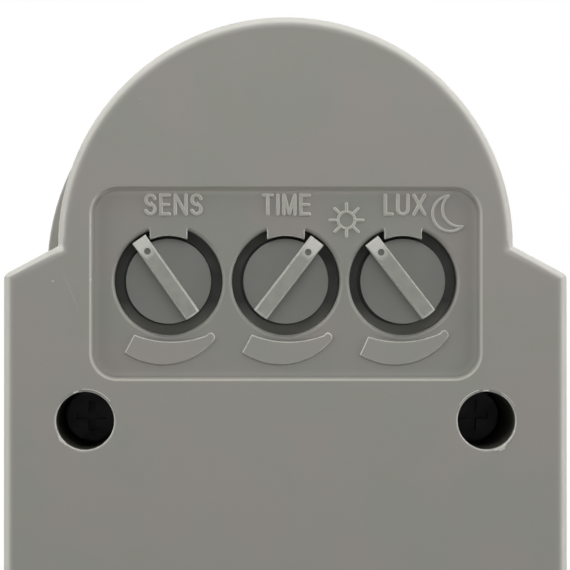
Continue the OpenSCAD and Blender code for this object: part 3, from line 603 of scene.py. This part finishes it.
def lower_housing_width(edge):
    """How far each edge of the lower housing is rounded, by where it lies."""
    at = middle(edge)
    depth = at.z - face_z
    if depth > 6 * MM:
        return 0.15 * MM
    if depth < 0.05 * MM:
        near_panel = abs(at.x) < PANEL_HALF_W + MM and abs(at.y - PANEL_Y) < PANEL_HALF_D + MM
        return 0.2 * MM if near_panel else 0.08 * MM
    if abs(at.z - mark_z) < 0.05 * MM:
        return 0.16 * MM
    from_dial = min(math.hypot(at.x - j.x, at.y - j.y) for j in joint_of.values())
    if from_dial < DIAL_WELL_R + 0.6 * MM:
        return 0.15 * MM if depth < 4 * MM else 0.05 * MM
    return 0.05 * MM


def dial_width(edge):
    """How far each edge of a dial is rounded: little on the disc's rim and at the pointer's dimple."""
    if edge.calc_length() < 0.2 * MM:
        return 0.02 * MM
    return 0.09 * MM if middle(edge).z < face_z + 1.7 * MM else 0.04 * MM


# Raised words and signs on the panel, and flash around the screw wells

STROKE_MM = 0.47
CAP_MM = 2.41
LETTER_GAP_MM = 0.29
BASE_Y_MM = -54.86
WORDS = (("SENS", -17.9), ("TIME", -2.87), ("LUX", 12.72))
SUN_AT = Vector((7.74, -54.09))
SIGN_HALF_WIDTH_MM = 0.19
SIGN_RISE_MM = 0.15


def arc_points(centre, radius, start, end, steps):
    """Points of an arc, with angles in degrees counted from +X towards +Y."""
    turns = [math.radians(start + (end - start) * i / steps) for i in range(steps + 1)]
    return [(centre[0] + radius * math.cos(t), centre[1] + radius * math.sin(t)) for t in turns]


def arc_through(a, b, c, steps):
    """Points of the arc that starts at a, passes through b and ends at c."""
    a, b, c = Vector(a), Vector(b), Vector(c)
    ab, ac = b - a, c - a
    twice = 2 * (ab.x * ac.y - ab.y * ac.x)
    reach = Vector((ac.y * ab.length_squared - ab.y * ac.length_squared,
                    ab.x * ac.length_squared - ac.x * ab.length_squared)) / twice
    centre = a + reach
    start, via, end = (math.degrees(math.atan2(p.y - centre.y, p.x - centre.x)) for p in (a, b, c))
    turn = (end - start) % 360
    if (via - start) % 360 > turn:
        turn -= 360
    return arc_points(centre, reach.length, start, start + turn, steps)


def glyphs():
    """Each letter's width and strokes, in millimetres, on a baseline at 0."""
    top, mid, half = CAP_MM, CAP_MM / 2, 0.58
    bowl = top / 4
    s_upper = [(half + half * math.cos(t), top - bowl + bowl * math.sin(t))
               for t in (math.radians(15 + 255 * i / 10) for i in range(11))]
    s_lower = [(2 * half - x, top - y) for x, y in reversed(s_upper)]
    return {
        "S": (1.16, [s_upper + s_lower]),
        "E": (1.08, [[(1.08, top), (0, top), (0, 0), (1.08, 0)], [(0, mid), (0.98, mid)]]),
        "N": (1.36, [[(0, 0), (0, top)], [(0, top), (1.36, 0)], [(1.36, 0), (1.36, top)]]),
        "T": (1.09, [[(0, top), (1.09, top)], [(0.545, top), (0.545, 0)]]),
        "I": (0.0, [[(0, 0), (0, top)]]),
        "M": (1.4, [[(0, 0), (0, top)], [(0, top), (0.7, 0.1)], [(0.7, 0.1), (1.4, top)],
                    [(1.4, top), (1.4, 0)]]),
        "L": (0.83, [[(0, top), (0, 0), (0.83, 0)]]),
        "U": (1.3, [[(0, top)] + arc_points((0.65, 0.65), 0.65, 180, 360, 10) + [(1.3, top)]]),
        "X": (1.36, [[(0, 0), (1.36, top)], [(0, top), (1.36, 0)]]),
    }


def bead(bm, line, half_width, rise, closed=False, floor=None):
    """A raised rounded stroke along a line of points in millimetres, on the panel or another level face."""
    floor = panel_z if floor is None else floor
    across = [(-1, -0.05), (-0.86, 0.75 * rise), (-0.64, rise), (0, rise),
              (0.64, rise), (0.86, 0.75 * rise), (1, -0.05)]
    points = [Vector(p) for p in line]
    count = len(points)
    rings = []

    def ring(at, side, spread, lift):
        corners = []
        for offset, height in across:
            flat = at + side * offset * half_width * spread
            corners.append(bm.verts.new((flat.x * MM, flat.y * MM, floor - height * lift * MM)))
        rings.append(corners)

    def heading(i, j):
        return (points[j] - points[i]).normalized()

    def round_end(at, outwards, side, turns):
        for turn in turns:
            t = math.radians(turn)
            ring(at + outwards * half_width * math.sin(t), side, math.cos(t), math.cos(t) ** 0.6)

    if not closed:
        start = heading(0, 1)
        round_end(points[0], -start, Vector((-start.y, start.x)), (80, 55, 28))
    for i in range(count):
        before = heading(i - 1, i) if i > 0 or closed else heading(0, 1)
        after = heading(i, (i + 1) % count) if i < count - 1 or closed else before
        along = (before + after).normalized()
        stretch = 1 / max(along.dot(before), 0.5)
        ring(points[i], Vector((-along.y, along.x)), stretch, 1)
    if not closed:
        end = heading(count - 2, count - 1)
        round_end(points[-1], end, Vector((-end.y, end.x)), (28, 55, 80))
    pairs = list(zip(rings, rings[1:])) + ([(rings[-1], rings[0])] if closed else [])
    size = len(across)
    for a, b in pairs:
        for k in range(size):
            n = (k + 1) % size
            bm.faces.new((a[k], a[n], b[n], b[k]))
    if not closed:
        bm.faces.new(reversed(rings[0]))
        bm.faces.new(rings[-1])


def add_lettering(material):
    """The words over the dials, and a sun and a moon at the ends of the light level's scale."""
    bm = bmesh.new()
    letters = glyphs()
    for word, x in WORDS:
        for letter in word:
            width, strokes = letters[letter]
            for i, stroke in enumerate(strokes):
                bead(bm, [(x + u, BASE_Y_MM - v) for u, v in stroke], STROKE_MM / 2, 0.17 + 0.012 * i)
            x += width + STROKE_MM + LETTER_GAP_MM
    bead(bm, arc_points(SUN_AT, 1.08, 0, 345, 23), SIGN_HALF_WIDTH_MM, SIGN_RISE_MM, closed=True)
    for i in range(8):
        way = Vector((math.cos(i * math.pi / 4), math.sin(i * math.pi / 4)))
        bead(bm, [SUN_AT + way * 1.3, SUN_AT + way * 2.1], SIGN_HALF_WIDTH_MM + 0.02, SIGN_RISE_MM + 0.015)
    tip, far_tip = (20.8, -57.2), (22.6, -53.3)
    bead(bm, arc_through(tip, (18.75, -54.9), far_tip, 26), SIGN_HALF_WIDTH_MM, SIGN_RISE_MM)
    bead(bm, arc_through(tip, (20.2, -54.65), far_tip, 18), SIGN_HALF_WIDTH_MM, SIGN_RISE_MM + 0.015)
    beads_piece(bm, "panel_lettering", material)


def beads_piece(bm, name, material):
    """One piece on the housing from all the beads."""
    bmesh.ops.recalc_face_normals(bm, faces=bm.faces)
    mark_sharp(bm, math.radians(60))
    new_piece(name, mesh_from(bm, name), HOUSING, material)


def add_flash(material):
    """Thin curls of moulding flash at the rims of the two screw wells."""
    bm = bmesh.new()
    curls = {
        -1: [(-95, -38, 4.02, 0.06), (-112, -104, 3.85, 0.1), (128, 150, 3.95, 0.07), (138, 144, 4.05, 0.1)],
        1: [(-150, -105, 3.98, 0.06), (-96, -86, 3.85, 0.08), (-62, -28, 4.0, 0.06), (-58, -36, 3.82, 0.05),
            (52, 74, 3.95, 0.12), (58, 66, 4.15, 0.16), (20, 50, 3.88, 0.05)],
    }
    for side, arcs in curls.items():
        centre = (side * SCREW_X / MM, SCREW_Y / MM)
        for start, end, radius, half_width in arcs:
            bead(bm, arc_points(centre, radius, start, end, 10), half_width, 0.08, floor=face_z)
    beads_piece(bm, "screw_well_flash", material)


def add_lens_cells(material):
    """The lens's outer face, moulded as rows of slightly domed cells."""
    low_z, high_z = face_z + 15.1 * MM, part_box("lens")[1].z - 1.3 * MM
    steps = 8
    across, up = LENS_COLUMNS * steps, LENS_ROWS * steps
    bm = bmesh.new()
    grid = []
    for j in range(up + 1):
        v = 2 * (j % steps) / steps - 1
        row = []
        for i in range(across + 1):
            u = 2 * (i % steps) / steps - 1
            r = LENS_R + 0.02 * MM + CELL_BULGE * (1 - u ** 4) * (1 - v ** 4)
            turn = math.pi * (1 + i / across)
            row.append(bm.verts.new((r * math.cos(turn), HEAD_Y + r * math.sin(turn),
                                     low_z + (high_z - low_z) * j / up)))
        grid.append(row)
    for j in range(up):
        for i in range(across):
            bm.faces.new((grid[j][i], grid[j][i + 1], grid[j + 1][i + 1], grid[j + 1][i]))
    mark_sharp(bm, math.radians(12))
    new_piece("lens_cells", mesh_from(bm, "lens_cells"), HOUSING, material)


# Pieces

casing = casing_grey()
dial_plastic = dial_grey()
raised = raised_grey()
rubber = plastic("black_rubber", (32, 32, 32), 0.7)
lens_plastic = plastic("lens", (216, 217, 214), 0.35, spread=0.02)

rounded_copy("lower_housing", "lower_housing_shell", HOUSING, casing, lower_housing_width,
             segments=3, reshape=round_mark_tips)
rounded_copy("upper_housing", "upper_housing_shell", HOUSING, casing, lambda e: 0.3 * MM)
rounded_copy("cable_grommet", "cable_grommet_ring", HOUSING, rubber, lambda e: 0.25 * MM)
for dial in DIALS:
    rounded_copy(f"{dial}_knob", f"{dial}_dial_face", f"{dial}_dial", dial_plastic, dial_width)

add_lettering(raised)
add_flash(plastic("flash_grey", PALE_SPECK_AND_HIGHLIGHT, 0.5))
add_lens_cells(lens_plastic)

look = {
    "casing": casing,
    "dial": dial_plastic,
    "black_rubber": rubber,
    "block_plastic": plastic("block_plastic", (222, 220, 208), 0.4),
    "brass": plastic("brass", (200, 160, 90), 0.3, metallic=1.0),
    "zinc_steel": plastic("zinc_steel", (190, 190, 186), 0.35, metallic=1.0),
    "lead_insulation": lead_colours(),
    "lens": lens_plastic,
    "circuit_board": plastic("circuit_board", (22, 72, 34), 0.35),
    "black_plastic": plastic("black_plastic", (28, 28, 28), 0.45),
    "sensor_can": plastic("sensor_can", (190, 190, 185), 0.25, metallic=1.0),
    "sensor_window": plastic("sensor_window", (16, 16, 20), 0.15),
    "photocell": plastic("photocell", (190, 100, 50), 0.3),
    "red_led": plastic("red_led", (180, 20, 16), 0.2),
    "relay_case": plastic("relay_case", (20, 60, 140), 0.3),
    "film_case": plastic("film_case", (190, 140, 30), 0.3),
    "capacitor_sleeve": plastic("capacitor_sleeve", (24, 28, 50), 0.35),
    "varistor_coat": plastic("varistor_coat", (30, 80, 160), 0.5),
    "fuse_body": plastic("fuse_body", (220, 216, 200), 0.2),
    "black_steel": plastic("black_steel", (30, 30, 30), 0.5),
    "potentiometer_case": plastic("potentiometer_case", (26, 60, 120), 0.4),
    "rotor_plastic": plastic("rotor_plastic", (224, 222, 212), 0.4),
}
slot_of = {s["node"]: s["material_slot"] for s in frame["record"]["subparts"]}
for node, obj in frame["nodes"].items():
    if obj.hide_render:
        continue
    obj.data.materials.clear()
    obj.data.materials.append(look[slot_of[node]])


# Camera, light and surroundings

def look_at(obj, place, target, up):
    forward = (target - place).normalized()
    right = forward.cross(up).normalized()
    true_up = right.cross(forward)
    turn = Matrix((right, true_up, -forward)).transposed()
    obj.matrix_world = Matrix.Translation(place) @ turn.to_4x4()


def add_camera():
    camera = bpy.data.objects.new("camera", bpy.data.cameras.new("camera"))
    bpy.context.scene.collection.objects.link(camera)
    camera.data.sensor_width = 36
    camera.data.lens = CAMERA_LENS
    camera.data.clip_start = 0.01
    look_at(camera, CAMERA_AT, CAMERA_TARGET, Vector((0, -1, 0)))
    bpy.context.scene.camera = camera


def add_lamps():
    for name, (turn, below, distance, watts) in LAMPS.items():
        lamp = bpy.data.objects.new(name, bpy.data.lights.new(name, "AREA"))
        bpy.context.scene.collection.objects.link(lamp)
        lamp.data.shape = "RECTANGLE"
        lamp.data.size, lamp.data.size_y = distance, LAMP_SHAPE * distance
        lamp.data.energy = watts
        turn, below = math.radians(turn), math.radians(below)
        level = math.cos(below)
        way = Vector((math.sin(turn) * level, -math.cos(turn) * level, -math.sin(below)))
        look_at(lamp, LAMP_TARGET + distance * way, LAMP_TARGET, Vector((0, 0, 1)))


def add_floor():
    """A wide pale floor far below the sensor, which the camera sees as nearly white."""
    mesh = bpy.data.meshes.new("floor")
    corners = [(x * FLOOR_REACH, y * FLOOR_REACH, FLOOR_Z) for x, y in ((-1, -1), (1, -1), (1, 1), (-1, 1))]
    mesh.from_pydata(corners, [], [(0, 1, 2, 3)])
    floor = bpy.data.objects.new("floor", mesh)
    bpy.context.scene.collection.objects.link(floor)
    n = MaterialNodes("floor_pale")
    n.shader.inputs["Base Color"].default_value = (0.8, 0.8, 0.8, 1)
    n.shader.inputs["Roughness"].default_value = 0.8
    n.shader.inputs["Emission Color"].default_value = (1, 1, 1, 1)
    n.feed(n.shader.inputs["Emission Strength"], n.math("MULTIPLY", n.seen_directly(), FLOOR_GLOW))
    mesh.materials.append(n.material)


def add_world():
    """Even surroundings, which camera, mirror and glass rays see as plain white."""
    world = bpy.data.worlds.new("studio")
    bpy.context.scene.world = world
    world.use_nodes = True
    n = Nodes(world.node_tree)
    background = world.node_tree.nodes["Background"]
    background.inputs["Color"].default_value = (1, 1, 1, 1)
    strength = n.math("MULTIPLY_ADD", n.seen_directly(), 1 - FILL_LIGHT, FILL_LIGHT)
    n.feed(background.inputs["Strength"], strength)


add_camera()
add_lamps()
add_floor()
add_world()
bpy.context.scene.view_settings.view_transform = "Standard"
